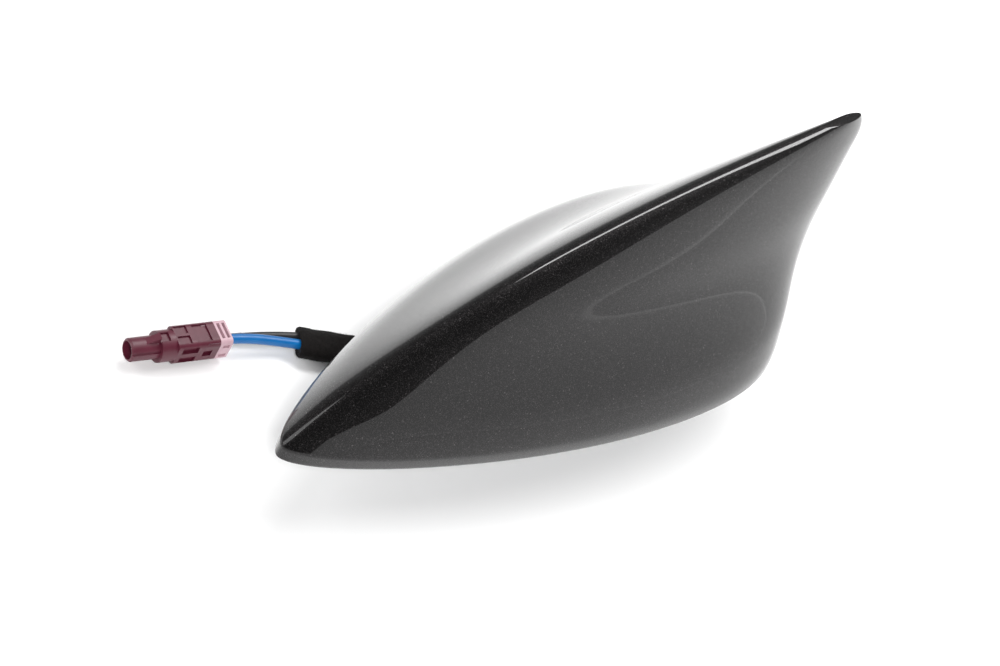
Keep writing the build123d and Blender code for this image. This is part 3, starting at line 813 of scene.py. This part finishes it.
def dress_hardware() -> int:
    """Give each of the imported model's own pieces its finish and return how many were dressed."""
    for name, finish in NODE_FINISH.items():
        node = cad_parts[name]
        node.data.materials.clear()
        node.data.materials.append(finish.build())
        smooth(node, HARDWARE_EDGE)
    return len(NODE_FINISH)


@dataclass
class Studio:
    """Camera, floor and soft lights, in metres."""

    camera_at: Point = (-0.4372, -0.1904, 0.4374)
    right: Point = (0.6729, -0.6042, 0.4267)
    up: Point = (0.2697, 0.7376, 0.6190)
    forward: Point = (0.6888, 0.3014, -0.6593)
    lens: float = 91.04
    shift: tuple[float, float] = (-0.0757, -0.0359)
    sensor: float = 36.0
    far_clip: float = 50.0
    floor_z: float = -0.0172
    floor_size: float = 8.0
    sky: float = 0.22

    def camera(self) -> None:
        """Place the camera."""
        data = bpy.data.cameras.new("camera")
        data.lens = self.lens
        data.sensor_width = self.sensor
        data.shift_x, data.shift_y = self.shift
        data.clip_end = self.far_clip
        camera = bpy.data.objects.new("camera", data)
        bpy.context.scene.collection.objects.link(camera)
        r, u, f = Vector(self.right), Vector(self.up), Vector(self.forward)
        camera.matrix_world = Matrix((
            (r.x, u.x, -f.x, self.camera_at[0]),
            (r.y, u.y, -f.y, self.camera_at[1]),
            (r.z, u.z, -f.z, self.camera_at[2]),
            (0, 0, 0, 1),
        ))
        bpy.context.scene.camera = camera

    def floor(self) -> None:
        """Lay the white floor under the foot and the plug."""
        deselect()
        bpy.ops.mesh.primitive_plane_add(size=self.floor_size, location=(0, 0, self.floor_z))
        floor = bpy.context.active_object
        floor.name = "studio_floor"
        bpy.ops.object.transform_apply(location=True, rotation=True, scale=True)
        floor.data.materials.append(FLOOR.build())
        deselect()

    @staticmethod
    def panel(
        name: str,
        at: Point,
        aim: Point,
        size: tuple[float, float],
        watts: float,
        mirrored: bool = True,
    ) -> None:
        """Hang one soft light panel.

        Args:
            name: the light's name.
            at: its place.
            aim: the point it faces.
            size: its width and height.
            watts: its power.
            mirrored: whether gloss shows it.
        """
        data = bpy.data.lights.new(name, "AREA")
        data.shape = "RECTANGLE"
        data.size, data.size_y = size
        data.energy = watts
        light = bpy.data.objects.new(name, data)
        bpy.context.scene.collection.objects.link(light)
        light.location = at
        light.visible_glossy = mirrored
        light.rotation_euler = (Vector(aim) - Vector(at)).to_track_quat("-Z", "Y").to_euler()

    def build(self) -> None:
        """Build the whole studio."""
        self.floor()
        world = bpy.data.worlds.new("studio")
        world.use_nodes = True
        background = world.node_tree.nodes["Background"]
        background.inputs["Color"].default_value = rgb(1, 1, 1)
        background.inputs["Strength"].default_value = self.sky
        bpy.context.scene.world = world
        bpy.context.scene.view_settings.view_transform = "Standard"
        self.panel("overhead", (1.0, 0.35, 1.7), (0.4, 0, 0), (2.6, 0.32), 44.0)
        self.panel("front", (-1.21, -0.99, 1.54), (0, 0, 0), (0.6, 0.6), 36.0, mirrored=False)
        self.panel("reflector", (0.75, -1.3, 0.25), (0.1, 0, 0.25), (3.2, 0.56), 7.6)
        self.panel("left", (-1.3, 0.9, 0.8), (0, 0, 0), (1.0, 1.0), 12.0)


def main() -> None:
    """Build the pieces in order."""
    logging.basicConfig(level=logging.INFO)
    studio = Studio()
    studio.camera()
    for piece in Leads().build():
        log.info("lead piece %s", piece.name)
    cover = Cover().build()
    log.info("cover %s with %d faces", cover.name, len(cover.data.polygons))
    log.info("dressed %d nodes", dress_hardware())
    studio.build()


if __name__ == "__main__":
    main()
